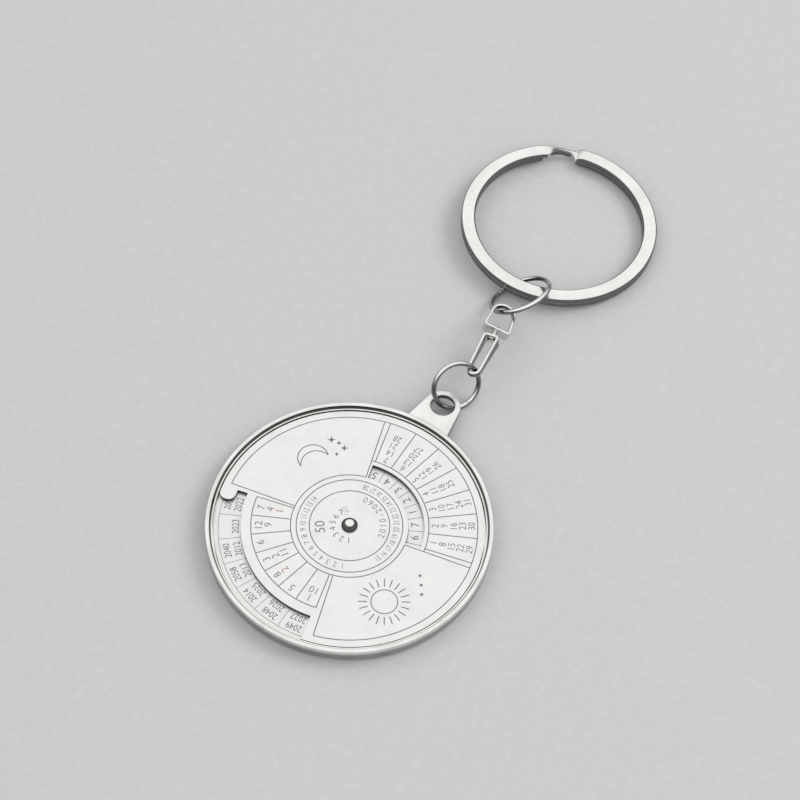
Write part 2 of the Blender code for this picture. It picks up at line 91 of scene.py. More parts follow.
class Wire:
    """A socket whose arithmetic adds Math nodes."""

    def __init__(self, net, socket):
        self.net = net
        self.socket = socket

    def _math(self, operation, *values):
        return self.net.add("ShaderNodeMath", {"operation": operation}, dict(enumerate(values)))

    def __add__(self, other):
        return self._math("ADD", self, other)

    def __radd__(self, other):
        return self._math("ADD", other, self)

    def __sub__(self, other):
        return self._math("SUBTRACT", self, other)

    def __rsub__(self, other):
        return self._math("SUBTRACT", other, self)

    def __mul__(self, other):
        return self._math("MULTIPLY", self, other)

    def __rmul__(self, other):
        return self._math("MULTIPLY", other, self)

    def __abs__(self):
        return self._math("ABSOLUTE", self)

    def above(self, edge, soft):
        """A mask that grows from 0 to 1 over the stretch soft from edge."""
        return self.net.add("ShaderNodeMapRange", {"interpolation_type": "SMOOTHSTEP"},
                            {"Value": self, "From Min": edge, "From Max": edge + soft})

    def between(self, low, high, soft):
        """A mask that is 1 from low to high and fades over the stretch soft."""
        return self.above(low, soft) * (1 - self.above(high, soft))


class Net:
    """A tree of nodes and the ways to add to it."""

    def __init__(self, tree):
        self.tree = tree

    def feed(self, socket, value):
        if isinstance(value, Wire):
            self.tree.links.new(value.socket, socket)
        else:
            socket.default_value = value

    def add(self, kind, settings=None, sockets=None, output=0):
        node = self.tree.nodes.new(kind)
        for key, value in (settings or {}).items():
            if key == "stops":
                self.set_stops(node.color_ramp, value)
            else:
                setattr(node, key, value)
        for key, value in (sockets or {}).items():
            self.feed(node.inputs[key], value)
        return Wire(self, node.outputs[output])

    def set_stops(self, ramp, stops):
        while len(ramp.elements) < len(stops):
            ramp.elements.new(1.0)
        for element, (place, colour) in zip(ramp.elements, stops):
            element.position = place
            element.color = colour


class Finish(Net):
    """A named material with its shader's fixed values and the nodes added to it."""

    def __init__(self, name, **fixed):
        self.material = bpy.data.materials.new(name)
        self.material.use_nodes = True
        super().__init__(self.material.node_tree)
        self.shader = self.tree.nodes["Principled BSDF"]
        for socket, value in fixed.items():
            self.shader.inputs[socket.replace("_", " ")].default_value = value

    def out(self, **results):
        for name, value in results.items():
            self.feed(self.shader.inputs[name.replace("_", " ")], value)
        return self.material

    def place(self, scale=(1, 1, 1)):
        """Object coordinates in metres, stretched where a pattern needs it."""
        where = self.add("ShaderNodeTexCoord", output="Object")
        return self.add("ShaderNodeMapping", None, {"Vector": where, "Scale": scale})

    def noise(self, size, detail=3.0, rough=0.55, stretch=(1, 1, 1)):
        """Noise whose lumps are about size metres wide."""
        return self.add("ShaderNodeTexNoise", None, {
            "Vector": self.place(stretch), "Scale": 1 / size, "Detail": detail, "Roughness": rough})

    def blend(self, share, first, second):
        return self.add("ShaderNodeMix", {"data_type": "RGBA"}, {0: share, 6: first, 7: second}, 2)

    def bump(self, height, depth):
        return self.add("ShaderNodeBump", None, {"Height": height, "Distance": depth})

    def vector(self, operation, *values, output=0):
        settings = {"operation": operation}
        return self.add("ShaderNodeVectorMath", settings, dict(enumerate(values)), output)

    def seen_from(self, at, turn):
        """Object coordinates as a link sees them from its own place and turn."""
        where = self.add("ShaderNodeTexCoord", output="Object")
        return self.add("ShaderNodeMapping", {"vector_type": "TEXTURE"},
                        {"Vector": where, "Location": at, "Rotation": turn.to_euler()})

    def part(self, axis, spot=None):
        return self.add("ShaderNodeSeparateXYZ", None, {0: spot or self.place()}, output=axis)

    def from_axis(self, centre=(0, 0, 0)):
        """Distance from an upright axis, the dial's own unless another is given, in metres."""
        flat = self.vector("MULTIPLY_ADD", self.place(), (1, 1, 0), (-centre[0], -centre[1], 0))
        return self.vector("LENGTH", flat, output="Value")


print("finish helper ready")

# %% [markdown]
# ## The metals
# The case and chain are brightly plated, mirror-like but not perfect: the plate is a little
# cloudy, warmer where it is thin, and finely scratched from keys. The two dials are sanded to a
# pale satin, which spreads reflections and lets the thin grey figures be read. Noise on Object
# coordinates makes the clouds and scratches, so they stay with each piece as it turns. A fade is
# written as the edge where a mask starts to grow and the stretch over which it does.

# %% Plated and polished finishes
CLOUD_SIZE = 4 * MM
CLOUD_FADE = (0.35, 0.3)
SCRATCH_SIZE = 0.25 * MM
SCRATCH_STRETCH = (1.0, 0.06, 1.0)
SCRATCH_FADE = (0.62, 0.16)
SCRATCH_ROUGH = 0.06
SCRATCH_DEPTH = 0.0008 * MM
BRIGHT_PLATE = (0.80, 0.79, 0.765, 1.0)
THIN_PLATE = (0.74, 0.725, 0.69, 1.0)
# Near black, blended into the plate's colour as painted shade.
PAINTED_SHADE_TONE = (0.06, 0.06, 0.06, 1.0)
POLISHED = (0.92, 0.915, 0.90, 1.0)
POLISHED_DEEP = (0.84, 0.835, 0.82, 1.0)


def plated(name, bright, thin, rough, rough_spread, dulled=None):
    """Bright plate in soft clouds, with hairline scratches, and shade painted in where a mask asks
    for it.
    """
    finish = Finish(name, Metallic=1.0, IOR=1.8)
    cloud = finish.noise(CLOUD_SIZE).above(*CLOUD_FADE)
    hair = finish.noise(SCRATCH_SIZE, 2.0, 0.7, SCRATCH_STRETCH).above(*SCRATCH_FADE)
    colour = finish.blend(cloud, bright, thin)
    if dulled:
        colour = finish.blend(dulled(finish), colour, PAINTED_SHADE_TONE)
    rough = rough + cloud * rough_spread + hair * SCRATCH_ROUGH
    relief = finish.bump(hair, SCRATCH_DEPTH)
    return finish.out(Base_Color=colour, Roughness=rough, Normal=relief)


# %% Where shade is painted on the plate
RIM_SLOPE = (19.38 * MM, 19.6 * MM)
SIDE_FROM = 20.19 * MM
RIM_FADE = 0.04 * MM
SIDE_FADE = (1.7 * MM, 0.6 * MM)
LUG_FADE = (1.84 * MM, 0.1 * MM)
DOME_GLINT_AT = (-0.08 * MM, 0.14 * MM)
DOME_FADE = (0.5 * MM, 0.22 * MM)


def case_dulled(finish):
    """Painted shade: dark on the rim's inner slope, and dim down the side wall."""
    out = finish.from_axis()
    slope = out.between(*RIM_SLOPE, RIM_FADE)
    side = out.above(SIDE_FROM, RIM_FADE) * (1 - finish.part("Z").above(*SIDE_FADE))
    return slope * 0.9 + side * 0.6


def lug_dulled(finish):
    """Painted shade: bright on top, dim down its cut edges."""
    return (1 - finish.part("Z").above(*LUG_FADE)) * 0.8


def dome_dulled(finish):
    """Painted highlight and shade: bright at a glint near the top, painted dark round it to the
    foot.
    """
    return finish.from_axis(DOME_GLINT_AT).above(*DOME_FADE) * 0.97


case_plate = plated("case_plate", POLISHED, BRIGHT_PLATE, 0.13, 0.07, case_dulled)
lug_plate = plated("lug_plate", POLISHED, POLISHED_DEEP, 0.2, 0.07, lug_dulled)
pin_plate = plated("pin_plate", BRIGHT_PLATE, THIN_PLATE, 0.11, 0.09)
dome_plate = plated("dome_plate", POLISHED, POLISHED_DEEP, 0.07, 0.05, dome_dulled)
print("plated finishes:", case_plate.name, lug_plate.name, pin_plate.name, dome_plate.name)

# %% Satin dials, etched figures and the hidden washer
GRAIN_SIZE = 0.09 * MM
GRAIN_DEPTH = 0.0015 * MM
WEAR_SIZE = 2.5 * MM
SCUFF_AT = Vector((-1.85, 1.6, 2.0)) * MM
SCUFF_FADE = (0.25 * MM, 0.8 * MM)
SCUFF_SIZE = 0.5 * MM
PAINTED_EDGE_SHADE_FADE = (-0.06 * MM, 0.03 * MM)
PATCH_SIZE = 0.35 * MM
SATIN_PALE = (0.90, 0.90, 0.89, 1.0)
SATIN_SHADE = (0.84, 0.84, 0.83, 1.0)
SCUFFED = (0.36, 0.36, 0.35, 1.0)
# Near black shade painted on the dials' cut walls and undersides, below the top face.
PAINTED_EDGE_SHADE = (0.02, 0.02, 0.02, 1.0)


def satin(name, bright, shade, rough, top):
    """Sanded metal: fine grain, faint wear, a scuffed place near the rivet, and shade painted near
    black on the cut edges and underside.
    """
    finish = Finish(name, Metallic=0.85, IOR=1.6)
    grain = finish.noise(GRAIN_SIZE, 2.0, 0.6)
    wear = finish.noise(WEAR_SIZE, 3.0).above(0.4, 0.3)
    away = finish.vector("DISTANCE", finish.place(), SCUFF_AT, output="Value")
    near = 1 - away.above(*SCUFF_FADE)
    scuff = near * finish.noise(SCUFF_SIZE, 5.0, 0.75).above(0.45, 0.12)
    # Painted shade: everything below the top face turns near black.
    face = finish.part("Z").above(top + PAINTED_EDGE_SHADE_FADE[0], PAINTED_EDGE_SHADE_FADE[1])
    colour = finish.blend(wear * 0.5 + grain * 0.3, bright, shade)
    colour = finish.blend(scuff * 0.65, colour, SCUFFED)
    colour = finish.blend(face, PAINTED_EDGE_SHADE, colour)
    rough = rough + wear * 0.05 + scuff * 0.1
    relief = finish.bump(grain, GRAIN_DEPTH)
    return finish.out(Base_Color=colour, Roughness=rough, Normal=relief)


def etched(name, deep, worn, rough):
    """Filled etching: dull grey that wears paler in small patches."""
    finish = Finish(name, Metallic=0.1, IOR=1.45)
    patch = finish.noise(PATCH_SIZE, 4.0, 0.6).above(0.45, 0.25)
    colour = finish.blend(patch, deep, worn)
    return finish.out(Base_Color=colour, Roughness=rough + patch * 0.1)


date_satin = satin("date_satin", SATIN_PALE, SATIN_SHADE, 0.34, 2.0 * MM)
year_satin = satin("year_satin", (0.88, 0.88, 0.87, 1.0), (0.82, 0.82, 0.81, 1.0), 0.38, 1.42 * MM)
grey_etch = etched("grey_etch", (0.16, 0.16, 0.165, 1.0), (0.25, 0.25, 0.25, 1.0), 0.6)
dark_etch = etched("dark_etch", (0.08, 0.08, 0.085, 1.0), (0.16, 0.16, 0.16, 1.0), 0.6)
red_etch = etched("red_etch", (0.42, 0.13, 0.11, 1.0), (0.50, 0.22, 0.19, 1.0), 0.5)
washer_steel = plated("washer_steel", (0.55, 0.55, 0.54, 1.0), (0.47, 0.47, 0.46, 1.0), 0.36, 0.1)
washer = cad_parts["friction_washer"].data
washer.materials.clear()
washer.materials.append(washer_steel)
print("satin and etched finishes ready, the washer keeps its own solid")

# %% [markdown]
# ## Turning and bending metal
# Almost everything here is turned, bent or cut from sheet. So the helpers follow the workshop: a
# strand is a few joined points, an arc is one point swung round a centre, turned swings a whole
# strand into a round body, and sheet_metal fills an outline with holes and gives it a thickness.

# %% Helpers for outlines
TINY = 0.0005 * MM
CENTRE = Vector((0, 0, 0))
ARC_DEGREES = 1.5


def polar(radius, degrees, height=0.0):
    angle = math.radians(degrees)
    return Vector((radius * math.cos(angle), radius * math.sin(angle), height))


def swing(bm, geometry, degrees, steps, centre=CENTRE, merge=False, rise=0.0):
    """Spins geometry about an upright axis through a centre, and gives back its last copy."""
    spun = bmesh.ops.spin(bm, geom=geometry, cent=centre, axis=(0, 0, 1), dvec=(0, 0, rise),
                          angle=math.radians(degrees), steps=steps, use_merge=merge,
                          use_duplicate=False)
    return spun["geom_last"]


def strand(bm, points):
    """Joined points, left open."""
    verts = [bm.verts.new(point) for point in points]
    for pair in zip(verts, verts[1:]):
        bm.edges.new(pair)
    return verts


def arc(bm, centre, radius, start, stop, step=ARC_DEGREES):
    """One vertex swung about a centre, from one angle to the other, in degrees."""
    first = bm.verts.new(centre + polar(radius, start))
    count = len(bm.verts)
    swing(bm, [first], stop - start, max(2, round(abs(stop - start) / step)), centre)
    return [first] + list(bm.verts)[count:]


def circle(bm, centre, radius, step):
    bmesh.ops.remove_doubles(bm, verts=arc(bm, centre, radius, 0.0, 360.0, step), dist=TINY)


def join_ends(bm, *runs):
    """Joins runs of vertices to one closed outline, in the order given."""
    for run, following in zip(runs, runs[1:] + runs[:1]):
        bm.edges.new((run[-1], following[0]))


# %% Helpers for bodies
FINE_STEPS = 256


def mesh_from(bm, name):
    mesh = bpy.data.meshes.new(name)
    bm.to_mesh(mesh)
    bm.free()
    return mesh


def everything(bm):
    return bm.verts[:] + bm.edges[:] + bm.faces[:]


def verts_of(geometry):
    return [item for item in geometry if isinstance(item, bmesh.types.BMVert)]


def face_outwards(bm):
    bmesh.ops.recalc_face_normals(bm, faces=bm.faces[:])


def close_ends(bm):
    """Fills each loop of open edges with one face."""
    bmesh.ops.holes_fill(bm, edges=[edge for edge in bm.edges if edge.is_boundary], sides=0)


def turn_about(degrees, axis):
    return Matrix.Rotation(math.radians(degrees), 4, axis)


def rotate(bm, degrees, axis):
    bmesh.ops.rotate(bm, verts=bm.verts[:], cent=CENTRE, matrix=turn_about(degrees, axis).to_3x3())


def move(bm, step, verts=None):
    bmesh.ops.translate(bm, verts=verts or bm.verts[:], vec=step)


def turned(profile, steps=FINE_STEPS):
    """A strand in the XZ plane swung fully round Z; ends on the axis close to a pole."""
    bm = bmesh.new()
    strand(bm, [(radius, 0, height) for radius, height in profile])
    swing(bm, everything(bm), 360, steps, merge=True)
    bmesh.ops.remove_doubles(bm, verts=bm.verts[:], dist=TINY)
    face_outwards(bm)
    return bm


def arch(radius, rise, step, foot=0.0):
    """A quarter of an ellipse in the XZ plane, from its foot almost to the axis."""
    turns = [math.radians(degrees) for degrees in range(0, 90, step)]
    return [(radius * math.cos(turn), foot + rise * math.sin(turn)) for turn in turns]


def sheet_metal(bm, low, high):
    """Fills every outline in the bmesh, holes left open, and raises it from low to high."""
    bmesh.ops.triangle_fill(bm, edges=bm.edges[:], use_beauty=True, use_dissolve=True)
    top = verts_of(bmesh.ops.extrude_face_region(bm, geom=bm.faces[:])["geom"])
    move(bm, (0, 0, low))
    move(bm, (0, 0, high - low), top)
    face_outwards(bm)


# %% Helpers for edges, and the last step of every piece
WIDE_FACE = 1.5 * MM * MM


def round_off(bm, edges, width, segments):
    bmesh.ops.bevel(bm, geom=edges, offset=width, segments=segments, profile=0.5,
                    affect="EDGES", material=-1, clamp_overlap=True)


def sharp_edges(bm, degrees=35.0):
    least = math.radians(degrees)
    return [edge for edge in bm.edges
            if len(edge.link_faces) == 2 and edge.calc_face_angle(0.0) > least]


def edges_where(edges, wanted):
    return [edge for edge in edges if all(wanted(vert.co) for vert in edge.verts)]


def round_loop(bm, radius, height, width, segments):
    """Rounds one turned corner, found by its radius and height."""
    def on_corner(co):
        return abs(co.xy.length - radius) < TINY and abs(co.z - height) < TINY
    round_off(bm, edges_where(bm.edges, on_corner), width, segments)


def finish_piece(name, bm, material, body, slot, *stands_for, sharp=40.0):
    """Turns a bmesh into a shaded object that rides on a body of the frame.

    Wide faces are shaded flat. Shaded smooth, they would take part of the tilt of the narrow
    rounded edge beside them, and a flat dial would shine as if it were dished.
    """
    mesh = mesh_from(bm, name)
    mesh.set_sharp_from_angle(angle=math.radians(sharp))
    for face in mesh.polygons:
        face.use_smooth = face.area < WIDE_FACE
    mesh.materials.append(material)
    piece = placed(name, mesh)
    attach(piece, body)
    if stands_for:
        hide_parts(*stands_for)
    print(name, "has", len(mesh.polygons), "faces")


# %% [markdown]
# ## The case
# The real case is a die-cast cup: a flat back, a round side, and a crested rim that stands above
# the dial and slopes inwards to a narrow ledge. It is a turned body, so its half section is drawn
# once and swung round. Each corner is then rounded by its own width, because the thin bright lines
# along the rim are nothing but these rounded corners catching the light.

# %% Case sizes
CASE_RADIUS = 20.25 * MM
CREST_INNER = 19.65 * MM
SLOPE_FOOT = 19.4 * MM
BORE_RADIUS = 19.2 * MM
RIVET_BORE = 0.81 * MM
FLOOR_TOP = 0.95 * MM
RIVET_HOLE_FOOT = 0.3 * MM
LEDGE_TOP = 2.13 * MM
RIM_TOP = 2.65 * MM
CASE_PROFILE = [(0, 0), (CASE_RADIUS, 0), (CASE_RADIUS, RIM_TOP), (CREST_INNER, RIM_TOP),
                (SLOPE_FOOT, LEDGE_TOP), (BORE_RADIUS, LEDGE_TOP), (BORE_RADIUS, FLOOR_TOP),
                (RIVET_BORE, FLOOR_TOP), (RIVET_BORE, RIVET_HOLE_FOOT), (0, RIVET_HOLE_FOOT)]
# Each rounded corner: its radius and height, the width of the rounding and its steps.
CASE_CORNERS = [(CASE_RADIUS, 0, 0.8 * MM, 8), (CASE_RADIUS, RIM_TOP, 0.16 * MM, 5),
                (CREST_INNER, RIM_TOP, 0.1 * MM, 4), (BORE_RADIUS, LEDGE_TOP, 0.04 * MM, 3)]

# %% Case body
bm = turned(CASE_PROFILE)
for corner in CASE_CORNERS:
    round_loop(bm, *corner)
finish_piece("case_body", bm, case_plate, "case", "nickel_plate", "case", sharp=50.0)

# %% [markdown]
# ## The lug
# The ear that the chain hangs on was cast with the case. It is a plate that narrows from the wall
# to a round head, with a round hole. One arc makes the head and two points inside the wall make
# the root. Joined, they are the outline, and its edges are rounded as a casting's are.

# %% Lug
LUG_LOW = 1.0 * MM
LUG_HIGH = 2.0 * MM
LUG_ROOT = 19.8 * MM
LUG_ROOT_HALF = 3.42 * MM
LUG_HEAD_HALF = 2.72 * MM
LUG_HEAD_ARC = (9.0, 171.0)
LUG_TIP = 26.8 * MM
LUG_HOLE_AT = Vector((0, 24.34, 0)) * MM
LUG_HOLE_RADIUS = 1.75 * MM
LUG_EASE = 0.18 * MM

bm = bmesh.new()
head_at = Vector((0, LUG_TIP - LUG_HEAD_HALF, 0))
head = arc(bm, head_at, LUG_HEAD_HALF, *LUG_HEAD_ARC, step=4.0)
root = strand(bm, [(-LUG_ROOT_HALF, LUG_ROOT, 0), (LUG_ROOT_HALF, LUG_ROOT, 0)])
join_ends(bm, head, root)
circle(bm, LUG_HOLE_AT, LUG_HOLE_RADIUS, 5.0)
sheet_metal(bm, LUG_LOW, LUG_HIGH)
round_off(bm, sharp_edges(bm), LUG_EASE, 4)
finish_piece("case_lug", bm, lug_plate, "case", "nickel_plate", "case")

# %% [markdown]
# ## The two dials
# Both dials are stamped from thin sheet. The year dial is a plain disc that stays still. The date
# dial turns over it and is cut through twice: a curved window for the weekdays, and a long window
# that is open to the rim for the years, with a small round tab left standing for a fingernail.
# Each outline is laid from arcs and filled as one sheet, and its cut edges are eased a little.

# %% Dial sizes
DIAL_TURN = 33.1
DIAL_RADIUS = 19.05 * MM
YEAR_LOW = 1.0 * MM
YEAR_TOP = 1.42 * MM
DATE_LOW = 1.6 * MM
DATE_TOP = 2.0 * MM
YEAR_WINDOW_INNER = DIAL_RADIUS - 3.79 * MM
WEEKDAY_OUTER = DIAL_RADIUS - 8.56 * MM
WEEKDAY_INNER = WEEKDAY_OUTER - 2.24 * MM
YEAR_WINDOW = (193.95, 283.3)
WEEKDAY_WINDOW = (14.1, 105.3)
TAB_REACH = 0.85 * MM
TAB_ROUND = 1.05 * MM
TAB_WIDTH = 2.3 * MM
YEAR_EASE = 0.05 * MM
DATE_EASE = 0.04 * MM

# %% Year dial
bm = turned([(RIVET_BORE, YEAR_LOW), (DIAL_RADIUS, YEAR_LOW), (DIAL_RADIUS, YEAR_TOP),
             (RIVET_BORE, YEAR_TOP), (RIVET_BORE, YEAR_LOW)])
round_loop(bm, DIAL_RADIUS, YEAR_TOP, YEAR_EASE, 2)
finish_piece("year_dial_plate", bm, year_satin, "case", "year_plate_steel", "year_dial")


# %% Date dial with its windows and finger tab
def tab_runs(bm):
    """The tab's rounded end in three runs, from the rim round to the window's start edge."""
    turn = YEAR_WINDOW[0]
    out = polar(1, turn)
    reach = polar(1, turn + 90) * TAB_REACH
    upper = out * (DIAL_RADIUS - TAB_ROUND) + reach
    lower = out * (DIAL_RADIUS - TAB_WIDTH + TAB_ROUND) + reach
    first = arc(bm, upper, TAB_ROUND, turn, turn + 90, 6.0)
    second = arc(bm, lower, TAB_ROUND, turn + 90, turn + 180, 6.0)
    foot = bm.verts.new(out * (DIAL_RADIUS - TAB_WIDTH))
    return first, second, [foot]


bm = bmesh.new()
rim = arc(bm, CENTRE, DIAL_RADIUS, YEAR_WINDOW[1], YEAR_WINDOW[0] + 360)
tab = tab_runs(bm)
window = arc(bm, CENTRE, YEAR_WINDOW_INNER, *YEAR_WINDOW)
join_ends(bm, rim, *tab, window)
outer = arc(bm, CENTRE, WEEKDAY_OUTER, *WEEKDAY_WINDOW)
inner = arc(bm, CENTRE, WEEKDAY_INNER, *WEEKDAY_WINDOW[::-1])
join_ends(bm, outer, inner)
circle(bm, CENTRE, RIVET_BORE, 8.0)
sheet_metal(bm, DATE_LOW, DATE_TOP)
top_edges = edges_where(sharp_edges(bm), lambda co: co.z > DATE_TOP - TINY)
round_off(bm, top_edges, DATE_EASE, 2)
finish_piece("date_dial_plate", bm, date_satin, "date_dial", "etched_steel", "date_dial")

# %% [markdown]
# ## Lines and figures on the dials
# The real marks are etched and filled, which leaves them about level with the metal. They could be
# painted in by the material, but at this size a painted edge blurs, so each line and figure is a
# very thin solid sunk into the dial with its top a hair above it. Lines are small rectangles swung
# round the axis. The words of the real dial aren't copied: months and weekdays are plain numbers.

# %% Helpers for marks
INK_SINK = 0.012 * MM
INK_RISE = 0.006 * MM
LEVEL_STEP = 0.0006 * MM
ROUND_LEVELS = 3
RAY_LEVELS = 4
LINE_WIDTH = 0.14 * MM
THIN_LINE = 0.075 * MM
DOT_SIDES = 20
FONT_OFFSET = -0.006
FONT_DEPTH = 0.05
R = 18.0 * MM


class Marks:
    """Collects the thin solids of one colour on one dial.

    Where two lines cross, tops at one height would fight for the same place and turn black. So
    each line lies a hair lower than the last, within a few levels, and rays below round lines.
    """

    def __init__(self, top, line_width):
        self.bm = bmesh.new()
        self.low = top - INK_SINK
        self.high = top + INK_RISE
        self.middle = (self.low + self.high) / 2
        self.depth = self.high - self.low
        self.width = line_width
        self.count = 0

    def round_line(self, radius, start, stop, centre=CENTRE, step=2.0):
        """An arc or a full circle, its radius and angles in the part's frame."""
        bm = bmesh.new()
        inner, outer = radius - self.width / 2, radius + self.width / 2
        corners = [(inner, self.low), (outer, self.low), (outer, self.high), (inner, self.high)]
        verts = strand(bm, [centre + polar(reach, start, height) for reach, height in corners])
        bm.edges.new((verts[-1], verts[0]))
        full = abs(stop - start) >= 360
        if not full:
            bm.faces.new(verts)
        steps = max(2, round(abs(stop - start) / step))
        swing(bm, everything(bm), stop - start, steps, centre, merge=full)
        close_ends(bm)
        self.take(bm, self.count % ROUND_LEVELS)

    def ray(self, degrees, start, stop, centre=CENTRE, width=None):
        """A straight line outwards from a centre."""
        bm = bmesh.new()
        bmesh.ops.create_cube(bm, size=1.0)
        size = (stop - start, width or self.width, self.depth)
        bmesh.ops.scale(bm, verts=bm.verts[:], vec=size)
        move(bm, ((start + stop) / 2, 0, self.middle))
        rotate(bm, degrees, "Z")
        move(bm, centre)
        self.take(bm, ROUND_LEVELS + self.count % RAY_LEVELS)

    def dot(self, at, radius):
        bm = bmesh.new()
        bmesh.ops.create_cone(bm, cap_ends=True, segments=DOT_SIDES, radius1=radius,
                              radius2=radius, depth=self.depth)
        move(bm, (at.x, at.y, self.middle))
        self.take(bm, 0)

    def text(self, words, radius, degrees, height, tops_out=True, squeeze=1.0):
        """A number standing square to its radius, with its foot or its top towards the rim."""
        mesh = text_mesh(words)
        flip = 1 if tops_out else -1
        low, high = extent(mesh)
        tall = height / DIGIT_HEIGHT
        centre = Vector(((low.x + high.x) / 2, DIGIT_HEIGHT / 2, 0))
        size = Matrix.Diagonal((tall * squeeze, tall, self.depth / (high.z - low.z), 1))
        turn = turn_about(degrees - 90 * flip, "Z")
        spot = Matrix.Translation(polar(radius, degrees, self.middle))
        mesh.transform(spot @ turn @ size @ Matrix.Translation(-centre))
        self.keep(mesh)

    def text_round(self, words, radius, start, stop, height, tops_out=True, squeeze=1.0):
        """Figures spread along an arc, one by one, in reading order."""
        for index, sign in enumerate(words):
            degrees = start + (stop - start) * index / (len(words) - 1)
            self.text(sign, radius, degrees, height, tops_out, squeeze)

    def take(self, bm, level):
        """Adds one finished line, a few levels down."""
        self.count += 1
        move(bm, (0, 0, -level * LEVEL_STEP))
        face_outwards(bm)
        self.keep(mesh_from(bm, "marks"))

    def keep(self, mesh):
        self.bm.from_mesh(mesh)
        bpy.data.meshes.remove(mesh)

    def done(self, name, material, body, slot):
        finish_piece(name, self.bm, material, body, slot, sharp=30.0)


def extent(mesh):
    corners = [vert.co for vert in mesh.vertices]
    return (Vector([min(co[i] for co in corners) for i in range(3)]),
            Vector([max(co[i] for co in corners) for i in range(3)]))


def text_mesh(words):
    """A mesh of plain figures, drawn a little thinner than the built-in font."""
    curve = bpy.data.curves.new("figures", "FONT")
    curve.body = words
    curve.resolution_u = 3
    curve.offset = FONT_OFFSET
    curve.extrude = FONT_DEPTH
    holder = bpy.data.objects.new("figures", curve)
    mesh = bpy.data.meshes.new_from_object(holder)
    bpy.data.objects.remove(holder)
    bpy.data.curves.remove(curve)
    return mesh


DIGIT_LOW, DIGIT_HIGH = extent(text_mesh("0"))
DIGIT_HEIGHT = DIGIT_HIGH.y - DIGIT_LOW.y
print("a figure is", round(DIGIT_HEIGHT, 3), "high in the font's own units")

# %% [markdown]
# ## The year dial's scales
# The year dial carries twenty-eight cells, because the calendar repeats after twenty-eight years.
# A year belongs to the cell of the weekday on which its March starts, so its place can be worked
# out rather than looked up. Each cell holds up to two years. A ring of weekdays sits nearer the
# centre, 1 for Monday to 7 for Sunday, and shows through the date dial's inner window.

# %% Years and weekdays
CELLS = 28
CELL = 360 / CELLS
WEEK = 7
YEAR_CELL_START = 161.2 + DIAL_TURN
WEEKDAY_CELL_START = 61.6 + DIAL_TURN - WEEK * CELL
FIRST_WEEKDAY = 4
YEAR_BAND = (0.835 * R, 1.022 * R)
YEAR_ROWS = (0.971 * R, 0.888 * R)
YEAR_HEIGHT = 0.054 * R
WEEKDAY_BAND = (0.4585 * R, 0.595 * R)
WEEKDAY_ROW = 0.513 * R
WEEKDAY_HEIGHT = 0.062 * R
YEARS = range(2010, 2061)
SHOWN_YEARS = [(2050, 2022), (None, 2023), (2040, 2012), (2058, 2013), (2014, 2025),
               (2048, 2026), (2049, 2027)]


def march_weekday(year):
    """0 for a March that starts on Tuesday, counted up round the week."""
    return (datetime.date(year, 3, 1).weekday() - 1) % WEEK


def year_cells():
    """Outer and inner year of each cell, anticlockwise, the cells in the window first."""
    cells = [list(pair) for pair in SHOWN_YEARS]
    cells += [[None, None] for _ in range(CELLS - WEEK)]
    shown = {year for pair in SHOWN_YEARS for year in pair}
    for year in YEARS:
        if year not in shown:
            own = cells[march_weekday(year)::WEEK]
            cell = next(cell for cell in own[1:] if None in cell)
            cell[1 if cell[1] is None else 0] = year
    return cells


year_lines = Marks(YEAR_TOP, THIN_LINE)
year_figures = Marks(YEAR_TOP, THIN_LINE)
year_lines.round_line(YEAR_BAND[1], 0, 360)
year_lines.round_line(WEEKDAY_BAND[0], 0, 360)
for place, years in enumerate(year_cells()):
    turn = YEAR_CELL_START + place * CELL
    year_lines.ray(turn, *YEAR_BAND)
    for year, radius in zip(years, YEAR_ROWS):
        if year:
            year_figures.text(str(year), radius, turn + CELL / 2, YEAR_HEIGHT, squeeze=0.82)
for place in range(CELLS):
    turn = WEEKDAY_CELL_START + place * CELL
    year_lines.ray(turn, *WEEKDAY_BAND)
    weekday = str((FIRST_WEEKDAY + place) % WEEK + 1)
    year_figures.text(weekday, WEEKDAY_ROW, turn + CELL / 2, WEEKDAY_HEIGHT, tops_out=False)
year_lines.done("year_dial_lines", grey_etch, "case", "year_plate_steel")
year_figures.done("year_dial_figures", dark_etch, "case", "year_plate_steel")
print("years placed:", sum(1 for cell in year_cells() for year in cell if year), "of", len(YEARS))

# %% [markdown]
# ## The date dial's tables
# The date dial carries the days of the month in seven columns of five rows, above the weekday
# window, and the months in seven cells beside the year window. Months whose first days fall on the
# same weekday share a cell. January and February have a second place, in red, for leap years.

# %% Table lines
DAYS_FROM = 71.4 + DIAL_TURN
MONTHS_FROM = 161.2 + DIAL_TURN
HUB_RINGS = (0.3135 * R, 0.4151 * R)
FIELD_FOOT = 0.46 * R
DAY_FOOT = 0.6187 * R
MONTH_TOP = 0.768 * R
# Each arc: its radius, and where it starts and stops on the dial.
TABLE_ARCS = ((0.4599 * R, 74.2, 338.8), (R, -105.3, 158.6), (DAY_FOOT, -21.2, 74.2),
              (MONTH_TOP, 161.2, 251.2))
FIELD_EDGES = (74.2, -21.2, 158.6, 254.7)

date_lines = Marks(DATE_TOP, LINE_WIDTH)
for radius in HUB_RINGS:
    date_lines.round_line(radius, 0, 360)
for radius, start, stop in TABLE_ARCS:
    date_lines.round_line(radius, start + DIAL_TURN, stop + DIAL_TURN)
for degrees in FIELD_EDGES:
    date_lines.ray(degrees + DIAL_TURN, FIELD_FOOT, R)
for place in range(WEEK + 1):
    date_lines.ray(DAYS_FROM - place * CELL, DAY_FOOT, R)
    date_lines.ray(MONTHS_FROM + place * CELL, FIELD_FOOT, MONTH_TOP)

# %% Days and months
DAY_FIRST_ROW = 0.667
DAY_ROW_STEP = 0.071
DAY_HEIGHT = 0.056 * R
MONTHS = [[7, 4, -1], [12, 9], [6], [3, 2, 11], [8, -2], [5], [1, 10]]
MONTH_ROWS = (0.708 * R, 0.634 * R, 0.562 * R)
MONTH_HEIGHT = 0.06 * R

